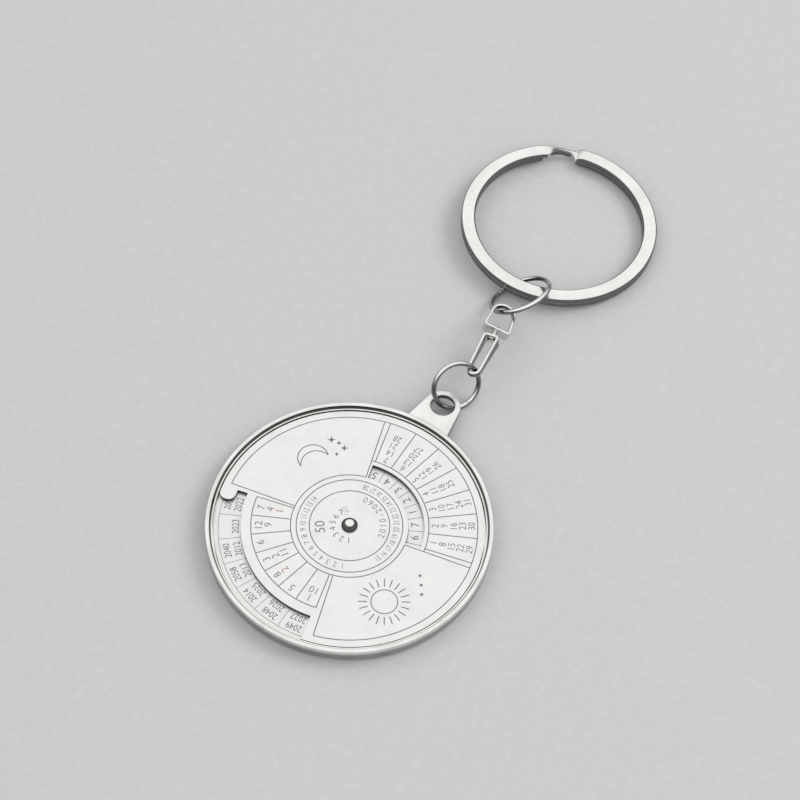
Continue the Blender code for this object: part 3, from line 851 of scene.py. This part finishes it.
date_figures = Marks(DATE_TOP, LINE_WIDTH)
leap_figures = Marks(DATE_TOP, LINE_WIDTH)
for day in range(1, 32):
    row, place = divmod(day - 1, WEEK)
    turn = DAYS_FROM - (WEEK - 0.5 - place) * CELL
    radius = (DAY_FIRST_ROW + DAY_ROW_STEP * row) * R
    date_figures.text(str(day), radius, turn, DAY_HEIGHT, tops_out=False, squeeze=0.88)
for place, months in enumerate(MONTHS):
    turn = MONTHS_FROM + (place + 0.5) * CELL
    for month, radius in zip(months, MONTH_ROWS):
        marks = leap_figures if month < 0 else date_figures
        marks.text(str(abs(month)), radius, turn, MONTH_HEIGHT, squeeze=0.95)

# %% Centre: span of years and a scale of twenty-eight
HALF_SCALE = CELLS // 2
SCALE_RADIUS = 0.3645 * R
SCALE_HEIGHT = 0.046 * R
SCALE_SWEEP = 122
LEFT_START = 262 + DIAL_TURN
RIGHT_START = -52 + DIAL_TURN

date_figures.text_round("2010-2060", 0.262 * R, -20 + DIAL_TURN, 62 + DIAL_TURN, 0.052 * R,
                        tops_out=False, squeeze=0.9)
date_figures.text("50", 0.232 * R, 184 + DIAL_TURN, 0.078 * R)
date_figures.text_round("1234567", 0.135 * R, 268 + DIAL_TURN, 118 + DIAL_TURN, 0.05 * R)
for number in range(1, CELLS + 1):
    left = number <= HALF_SCALE
    swept = SCALE_SWEEP * ((number - 1) % HALF_SCALE) / (HALF_SCALE - 1)
    degrees = LEFT_START - swept if left else RIGHT_START + swept
    squeeze = 0.85 if number < 10 else 0.68
    date_figures.text(str(number), SCALE_RADIUS, degrees, SCALE_HEIGHT, left, squeeze)
print("figures on the date dial laid out")

# %% [markdown]
# ## Sun and moon
# Two open fields hold a plain sun and crescent, common figures on such dials. The sun is a circle
# and twenty rays. The crescent is two arcs that share their ends, found from its width and from
# how far each arc bulges. Small stars and dots stand where the real dial has words.

# %% Sun, crescent and stars
SUN_AT = polar(0.721 * R, -67.7 + DIAL_TURN)
SUN_RADIUS = 0.103 * R
SUN_RAYS = 20
SUN_RAY = (0.132 * R, 0.2 * R)
SUN_RAY_WIDTH = 0.15 * MM
CRESCENT_TIPS = (Vector((-0.177, 0.642, 0)) * R, Vector((-0.391, 0.536, 0)) * R)
CRESCENT_BULGES = (0.148 * R, 0.086 * R)
STAR_LINES = 4
SHORT_LINE = 0.55
# Each star: its radius on the dial, its angle and its reach.
STARS = ((0.80, 101.0, 0.03), (0.76, 97.0, 0.018), (0.71, 94.0, 0.026), (0.66, 99.5, 0.016))
DOTS = ((0.70, -38.5), (0.76, -43.0), (0.82, -47.0))
DOT_RADIUS = 0.012 * R


def bulged_arc(first, last, bulge):
    """An arc between two points whose middle stands out by bulge."""
    chord = last - first
    half = chord.length / 2
    radius = (half ** 2 + bulge ** 2) / (2 * bulge)
    out = Vector((chord.y, -chord.x, 0)).normalized()
    centre = (first + last) / 2 + out * (bulge - radius)
    start = math.degrees(math.atan2(first.y - centre.y, first.x - centre.x))
    sweep = 2 * math.degrees(math.atan2(half, radius - bulge))
    date_lines.round_line(radius, start, start + sweep, centre=centre, step=4.0)


def star(at, reach):
    """Lines through one point, every other one shorter."""
    for index in range(STAR_LINES):
        half = reach * SHORT_LINE if index % 2 else reach
        date_lines.ray(index * 180 / STAR_LINES + DIAL_TURN, -half, half, centre=at)


date_lines.round_line(SUN_RADIUS, 0, 360, centre=SUN_AT, step=6.0)
for index in range(SUN_RAYS):
    turn = index * 360 / SUN_RAYS + DIAL_TURN
    date_lines.ray(turn, *SUN_RAY, centre=SUN_AT, width=SUN_RAY_WIDTH)
turned_tips = [turn_about(DIAL_TURN, "Z").to_3x3() @ tip for tip in CRESCENT_TIPS]
for bulge in CRESCENT_BULGES:
    bulged_arc(*turned_tips, bulge)
for radius, degrees, reach in STARS:
    star(polar(radius * R, degrees + DIAL_TURN), reach * R)
for radius, degrees in DOTS:
    date_lines.dot(polar(radius * R, degrees + DIAL_TURN), DOT_RADIUS)
date_lines.done("date_dial_lines", grey_etch, "date_dial", "etched_steel")
date_figures.done("date_dial_figures", grey_etch, "date_dial", "etched_steel")
leap_figures.done("date_dial_leap_figures", red_etch, "date_dial", "etched_steel")

# %% [markdown]
# ## The centre rivet
# One rivet is the dial's axle. Its head is a small polished dome that mirrors the whole room, so it
# needs a fine mesh more than any other piece. It is a quarter of an ellipse swung round the axis,
# with a short straight foot under it.

# %% Rivet
DOME_RADIUS = 1.14 * MM
DOME_FOOT = 2.05 * MM
DOME_WALL = 0.12 * MM
DOME_TOP = 2.55 * MM
SHANK_RADIUS = 0.75 * MM
SHANK_END = 0.35 * MM
DOME_ARCH = DOME_TOP - DOME_FOOT - DOME_WALL
dome = arch(DOME_RADIUS, DOME_ARCH, 5, DOME_FOOT + DOME_WALL)
bm = turned([(0, SHANK_END), (SHANK_RADIUS, SHANK_END), (SHANK_RADIUS, DOME_FOOT),
             (DOME_RADIUS, DOME_FOOT)] + dome + [(0, DOME_TOP)], 96)
finish_piece("centre_rivet_dome", bm, dome_plate, "case", "polished_steel", "centre_rivet")

# %% [markdown]
# ## Laying the chain
# The chain lies as it fell, so no link is square to the next. Each one is placed from the link
# before it: its heading, its lean and its turn were read from the photograph, and its pivot is
# where the two wires touch. A ring's own X axis points from its centre to the link before it, and
# a bail's X axis points from its flat crosspiece to its bow.

# %% Chain sizes
WIRE_RADIUS = 0.37 * MM
CASE_RING_RADIUS = 3.54 * MM
KEY_RING_RADIUS = 4.57 * MM
RING_SLIT = 0.06 * MM
STRAP = 0.42 * MM
STRAP_CORNER = 0.55 * MM
STRAP_BASE_WIDTH = 1.85 * MM
STRAP_BOW_WIDTH = 0.85 * MM
LOWER_LENGTH = 7.8 * MM
LOWER_HALF = 1.25 * MM
LOWER_BOW = 1.07 * MM
UPPER_LENGTH = 5.35 * MM
UPPER_HALF = 2.1 * MM
UPPER_BOW = 1.9 * MM
LOWER_PLAY = 0.4 * MM
UPPER_PLAY = 0.48 * MM
SWIVEL_GAP = 1.1 * MM
SPLIT_RADIUS = 15.0 * MM
SPLIT_BAND = 2.1 * MM
SPLIT_COIL = 0.86 * MM
SPLIT_GAP = 0.08 * MM
SPLIT_SLACK = 0.99 * MM
SPLIT_DROP = 0.85 * MM

# %% How the chain lies: headings, leans and turns in degrees
CASE_RING_AT = Vector((-0.225, 24.488, 1.5)) * MM
CASE_RING_LAY = (-32.4, 60.4, 309.8)
CASE_RING_LINK = 166.0
LOWER_LAY = (-81.5, 4.0, 8.0)
UPPER_LAY = (102.5, -4.0, 13.0)
KEY_RING_LAY = (165.5, 36.3, 106.0)
SPLIT_HEADING = 103.7
SPLIT_TILT = 2.35
SPLIT_TILT_HEADING = 43.0


def ring_turn(lay):
    return turn_about(lay[0], "Z") @ turn_about(lay[1], "Y") @ turn_about(lay[2], "Z")


def bail_turn(lay):
    return turn_about(lay[0], "Z") @ turn_about(-lay[1], "Y") @ turn_about(lay[2], "X")


def along(turn, step):
    return turn.to_3x3() @ Vector((step, 0, 0))


def in_mm(spot):
    return [round(v / MM, 2) for v in spot]


case_ring_turn = ring_turn(CASE_RING_LAY)
case_ring_centre = CASE_RING_AT - along(case_ring_turn, CASE_RING_RADIUS)
case_ring_link = case_ring_turn.to_3x3() @ polar(CASE_RING_RADIUS, CASE_RING_LINK)
lower_at = case_ring_centre + case_ring_link
lower_turn = bail_turn(LOWER_LAY)
lower_base = WIRE_RADIUS + LOWER_PLAY - (LOWER_BOW - STRAP) - (LOWER_LENGTH - LOWER_BOW)
swivel_at = lower_at + along(lower_turn, lower_base)
upper_turn = bail_turn(UPPER_LAY)
upper_at = swivel_at - along(lower_turn, SWIVEL_GAP)
key_ring_turn = ring_turn(KEY_RING_LAY)
key_ring_at = upper_at + along(upper_turn, UPPER_LENGTH - STRAP - WIRE_RADIUS - UPPER_PLAY)
key_ring_far = key_ring_at - along(key_ring_turn, 2 * KEY_RING_RADIUS)
split_reach = SPLIT_RADIUS - SPLIT_BAND - WIRE_RADIUS - SPLIT_SLACK
split_at = key_ring_far + polar(split_reach, SPLIT_HEADING)
split_at.z = key_ring_far.z - SPLIT_DROP
split_turn = ring_turn((SPLIT_TILT_HEADING, SPLIT_TILT, -SPLIT_TILT_HEADING))
print("swivel at", in_mm(swivel_at), "split ring at", in_mm(split_at))

# %% [markdown]
# ## Jump rings
# Each small ring is round wire bent until its ends meet. A disc of the wire's thickness is swung
# round the ring's centre and stops just short of a full turn, which leaves the fine slit that a
# real jump ring has.


# %% Jump rings
WIRE_SIDES = 24
WIRE_STEPS = 144
WIRE_EASE = 0.03 * MM
WIRE_FADE = (0.5, 0.35)


def wire_ring(radius, slit_degrees, turn, at):
    bm = bmesh.new()
    bmesh.ops.create_circle(bm, cap_ends=True, segments=WIRE_SIDES, radius=WIRE_RADIUS)
    rotate(bm, 90, "X")
    move(bm, (radius, 0, 0))
    slit = math.degrees(RING_SLIT / radius)
    swing(bm, everything(bm), 360 - slit, WIRE_STEPS)
    close_ends(bm)
    face_outwards(bm)
    round_off(bm, sharp_edges(bm, 60.0), WIRE_EASE, 2)
    start = turn_about(slit_degrees + slit / 2, "Z")
    bm.transform(Matrix.Translation(at) @ turn @ Matrix.Translation((-radius, 0, 0)) @ start)
    return bm


def wire_dulled(radius, turn, at):
    """Painted shade: bright along the top of the wire, painted darker down its sides."""
    up = turn.to_3x3().inverted() @ Vector((0, 0, 1 / WIRE_RADIUS))

    def dulled(finish):
        spot = finish.vector("ADD", finish.seen_from(at, turn), (radius, 0, 0))
        outward = finish.vector("NORMALIZE", finish.vector("MULTIPLY", spot, (1, 1, 0)))
        middle = finish.vector("MULTIPLY", outward, (radius, radius, radius))
        across = finish.vector("SUBTRACT", spot, middle)
        facing_up = finish.vector("DOT_PRODUCT", across, up, output="Value")
        return (1 - facing_up.above(*WIRE_FADE)) * 0.75
    return dulled


def add_wire_ring(name, radius, slit_degrees, turn, at, body, node):
    dulled = wire_dulled(radius, turn, at)
    plate = plated(name + "_plate", POLISHED, POLISHED_DEEP, 0.11, 0.09, dulled)
    ring = wire_ring(radius, slit_degrees, turn, at)
    finish_piece(name, ring, plate, body, "nickel_plate", node)


add_wire_ring("case_ring_wire", CASE_RING_RADIUS, 70.0, case_ring_turn, CASE_RING_AT,
              "case_ring", "case_jump_ring")
add_wire_ring("key_ring_wire", KEY_RING_RADIUS, 262.0, key_ring_turn, key_ring_at,
              "key_ring", "key_jump_ring")

# %% [markdown]
# ## The swivel
# The swivel is two flat straps, each bent to a loop that is wider at its flat crosspiece, held
# crosspiece to crosspiece by one rivet. The outlines of a strap's outside and inside are bridged,
# the ring between them is raised to the strap's width, narrower towards the bow, and its edges
# are rounded, because the bright and dark lines along them are most of what one sees of it.


# %% Swivel straps
STRAP_EASE = 0.12 * MM
STRAP_FADE = (0.09 * MM, 0.06 * MM)
FOOT_FADE = (0.5 * MM, 0.2 * MM)


def strap_outline(bm, length, half, bow, inset):
    """One side of the bent strap: a round bow, straight legs and a flat crosspiece."""
    bow_centre = Vector((length - bow, 0, 0))
    corner = Vector((STRAP_CORNER, half - STRAP_CORNER, 0))
    span = corner - bow_centre
    lean = math.acos((bow - STRAP_CORNER) / span.length)
    turn = math.degrees(math.atan2(span.y, span.x) - lean)
    runs = [arc(bm, bow_centre, bow - inset, -turn, turn, 6.0),
            arc(bm, corner, STRAP_CORNER - inset, turn, 180, 10.0),
            arc(bm, Vector((corner.x, -corner.y, 0)), STRAP_CORNER - inset, 180, 360 - turn, 10.0)]
    join_ends(bm, *runs)


def bent_strap(length, half, bow, base, turn, at):
    bm = bmesh.new()
    strap_outline(bm, length, half, bow, 0)
    strap_outline(bm, length, half, bow, STRAP)
    bmesh.ops.bridge_loops(bm, edges=bm.edges[:])
    top = set(verts_of(bmesh.ops.extrude_face_region(bm, geom=bm.faces[:])["geom"]))
    for vert in bm.verts:
        width = STRAP_BASE_WIDTH + (STRAP_BOW_WIDTH - STRAP_BASE_WIDTH) * vert.co.x / length
        vert.co.z = width / 2 if vert in top else -width / 2
    face_outwards(bm)
    round_off(bm, sharp_edges(bm, 50.0), STRAP_EASE, 4)
    bm.transform(Matrix.Translation(at) @ turn @ Matrix.Translation((base, 0, 0)))
    return bm


def strap_dulled(length, base, turn, at):
    """Painted shade on the strap's broad faces, the legs most, but not on its bright cut edges."""
    narrowing = (STRAP_BASE_WIDTH - STRAP_BOW_WIDTH) / 2 / length

    def dulled(finish):
        spot = finish.seen_from(at, turn)
        along_it = finish.part("X", spot) - base
        half_width = STRAP_BASE_WIDTH / 2 - along_it * narrowing
        depth = half_width - abs(finish.part("Z", spot))
        return depth.above(*STRAP_FADE) * (0.3 + along_it.above(*FOOT_FADE) * 0.55)
    return dulled


def add_strap(name, length, half, bow, base, turn, at, body, node):
    dulled = strap_dulled(length, base, turn, at)
    plate = plated(name + "_plate", POLISHED, POLISHED_DEEP, 0.1, 0.06, dulled)
    strap = bent_strap(length, half, bow, base, turn, at)
    finish_piece(name, strap, plate, body, "polished_steel", node, sharp=60.0)


add_strap("lower_strap", LOWER_LENGTH, LOWER_HALF, LOWER_BOW, lower_base, lower_turn, lower_at,
          "lower_bail", "swivel_lower_bail")
add_strap("upper_strap", UPPER_LENGTH, UPPER_HALF, UPPER_BOW, 0, upper_turn, upper_at,
          "upper_bail", "swivel_upper_bail")

# %% Swivel rivet
NECK_RADIUS = 0.42 * MM
HEAD_RADIUS = 0.66 * MM
HEAD_HEIGHT = 0.26 * MM
LOWER_SEAT = -STRAP - 0.05 * MM
UPPER_SEAT = SWIVEL_GAP + STRAP + 0.16 * MM
head = arch(HEAD_RADIUS, HEAD_HEIGHT, 9)
rivet_profile = [(0, LOWER_SEAT - HEAD_HEIGHT)] + [(x, LOWER_SEAT - z) for x, z in reversed(head)]
rivet_profile += [(NECK_RADIUS, LOWER_SEAT), (NECK_RADIUS, UPPER_SEAT)]
rivet_profile += [(x, UPPER_SEAT + z) for x, z in head] + [(0, UPPER_SEAT + HEAD_HEIGHT)]
bm = turned(rivet_profile, 48)
bm.transform(Matrix.Translation(swivel_at) @ lower_turn @ turn_about(-90, "Y"))
finish_piece("swivel_rivet_pin", bm, pin_plate, "lower_bail", "nickel_plate", "swivel_rivet")

# %% [markdown]
# ## The split ring
# The large ring is one flattened wire wound twice, so that a key can be threaded between the turns.
# Where the wire changes from the lower turn to the upper there is a crimp, and beside it both ends
# lie thinned against their neighbour. The band's section is swung a step at a time, and each step
# adds as much rise as the wind has there, so the crimp is part of the same sweep.

# %% Split ring
LOWER_END = 132.0
UPPER_END = 109.0
CRIMP = (112.0, 131.0)
# The neck's angles: where it starts, is full, widens again and ends.
NECK = (109.0, 111.0, 120.0, 130.0)
NECK_SHARE = 0.62
TAPER = 3.5
END_SHARE = 0.5
BAND_EASE = 0.24 * MM
STEP = 2.5


def ramp(value, start, stop):
    """0 at start, 1 at stop, and level beyond them."""
    return min(1, max(0, (value - start) / (stop - start)))


def coil_height(degrees):
    """Lower turn, a smooth rise at the crimp, then the upper turn."""
    share = ramp(degrees - 360, *CRIMP)
    eased = share * share * (3 - 2 * share)
    return (eased * 2 - 1) * (SPLIT_COIL + SPLIT_GAP) / 2


def band_section():
    """The flat wire's rounded section, stood up where the winding starts."""
    bm = bmesh.new()
    bmesh.ops.create_grid(bm, x_segments=1, y_segments=1, size=0.5)
    bmesh.ops.scale(bm, verts=bm.verts[:], vec=(SPLIT_BAND, SPLIT_COIL, 1))
    bmesh.ops.bevel(bm, geom=bm.verts[:], offset=BAND_EASE, segments=4, profile=0.5,
                    affect="VERTICES", material=-1, clamp_overlap=True)
    rotate(bm, 90, "X")
    move(bm, (SPLIT_RADIUS - SPLIT_BAND / 2, 0, coil_height(LOWER_END)))
    rotate(bm, LOWER_END, "Z")
    return bm


def split_ring():
    bm = band_section()
    sweep = UPPER_END + 720 - LOWER_END
    steps = round(sweep / STEP)
    step = sweep / steps
    loops = [list(bm.verts)]
    geometry = everything(bm)
    for index in range(steps):
        degrees = LOWER_END + step * index
        rise = coil_height(degrees + step) - coil_height(degrees)
        geometry = swing(bm, geometry, step, 1, rise=rise)
        loops.append(verts_of(geometry))
    close_ends(bm)
    for index, loop in enumerate(loops):
        narrow_neck(loop, LOWER_END + step * index - 360)
    thin_end(loops, step, -1)
    thin_end(loops[::-1], step, 1)
    face_outwards(bm)
    bm.transform(Matrix.Translation(split_at) @ split_turn)
    return bm


def narrow_neck(loop, degrees):
    """Draws the band in to its outer edge where it steps from one turn to the other."""
    share = ramp(degrees, NECK[0], NECK[1]) * ramp(degrees, NECK[3], NECK[2])
    for vert in loop:
        out = vert.co.xy.length
        wanted = SPLIT_RADIUS - (SPLIT_RADIUS - out) * (1 - NECK_SHARE * share)
        vert.co.xy *= wanted / out


def thin_end(loops, step, side):
    """Draws the last few degrees of the wire towards the neighbouring turn's far face."""
    for index in range(int(TAPER / step) + 1):
        fullness = END_SHARE + (1 - END_SHARE) * index * step / TAPER
        middle = sum((vert.co.z for vert in loops[index]), 0.0) / len(loops[index])
        shift = side * (fullness - 1) * SPLIT_COIL / 2
        for vert in loops[index]:
            vert.co.z = middle + (vert.co.z - middle) * fullness + shift


# %% Split ring's finish
WALL_EASE = (0.14 * MM, 0.2 * MM)
WALL_FADE = 0.08 * MM
NECK_AT = polar(13.4 * MM, 119.0)
NECK_REACH = (1.5 * MM, 0.6 * MM)
NECK_FADE = (14.5 * MM, 0.2 * MM)


def split_dulled(finish):
    """Painted shade on the band's two walls, and on the inner side of its narrow neck."""
    out = finish.from_axis(split_at)
    flat = (SPLIT_RADIUS - SPLIT_BAND + WALL_EASE[0], SPLIT_RADIUS - WALL_EASE[1])
    walls = 1 - out.between(*flat, WALL_FADE)
    away = finish.vector("DISTANCE", finish.place(), split_at + NECK_AT, output="Value")
    neck = (1 - away.above(*NECK_REACH)) * (1 - out.above(*NECK_FADE))
    return (walls + neck) * 0.85


split_plate = plated("split_plate", POLISHED, POLISHED_DEEP, 0.12, 0.08, split_dulled)
finish_piece("split_ring_wire", split_ring(), split_plate, "split_ring", "nickel_plate",
             "split_ring", sharp=50.0)

# %% [markdown]
# ## Floor and light
# The floor is plain and pale. Polished metal shows its surroundings more than itself, so the room
# matters: overhead it is bright, like a wide soft box, and towards the horizon it falls to grey.
# The flat dials then mirror the bright ceiling and look white, while rims and wires mirror the grey
# sides and keep their dark lines, deepened by shade painted into their colour. A soft lamp from
# above gives the short soft shadow. The metal doesn't mirror it, or the dials would flash pure
# white and lose their figures from one side.

# %% Floor
FLOOR_SIZE = 6.0
FLOOR_TONE = (0.60, 0.60, 0.61, 1.0)
FLOOR_SPECK = (0.63, 0.63, 0.64, 1.0)
SPECK_SIZE = 1.2 * MM

pale = Finish("pale_floor", Roughness=0.9, Specular_IOR_Level=0.1)
speck = pale.noise(SPECK_SIZE, 2.0).above(0.45, 0.3)
bm = bmesh.new()
bmesh.ops.create_grid(bm, x_segments=1, y_segments=1, size=FLOOR_SIZE / 2)
floor = placed("floor", mesh_from(bm, "floor"))
floor.data.materials.append(pale.out(Base_Color=pale.blend(speck, FLOOR_TONE, FLOOR_SPECK)))

# %% Room
HORIZON = (0.04, 0.04, 0.045, 1.0)
LOW_WALL = (0.12, 0.12, 0.125, 1.0)
MIDDLE = (0.50, 0.50, 0.51, 1.0)
CEILING = (0.98, 0.98, 0.97, 1.0)
ROOM_STOPS = ((0.0, HORIZON), (0.16, LOW_WALL), (0.36, MIDDLE), (0.62, CEILING), (1.0, CEILING))

scene.world = bpy.data.worlds.new("room")
scene.world.use_nodes = True
room = Net(scene.world.node_tree)
where = room.add("ShaderNodeTexCoord", output="Generated")
height = room.add("ShaderNodeSeparateXYZ", None, {0: where}, output="Z")
tone = room.add("ShaderNodeValToRGB", {"stops": ROOM_STOPS}, {"Fac": height})
room.feed(room.tree.nodes["Background"].inputs["Color"], tone)

# %% Lamp
LAMP_PLACE = Vector((0.55, 0.62, 0.75))
LAMP_SIZE = 0.5
LAMP_POWER = 3.3

light = bpy.data.lights.new("soft_lamp", "AREA")
light.energy = LAMP_POWER
light.size = LAMP_SIZE
lamp = placed("soft_lamp", light)
lamp.location = LAMP_PLACE
lamp.rotation_mode = "QUATERNION"
lamp.rotation_quaternion = LAMP_PLACE.to_track_quat("Z", "Y")
lamp.visible_glossy = False
scene.view_settings.view_transform = "Standard"
print("camera, floor, room and lamp in place")
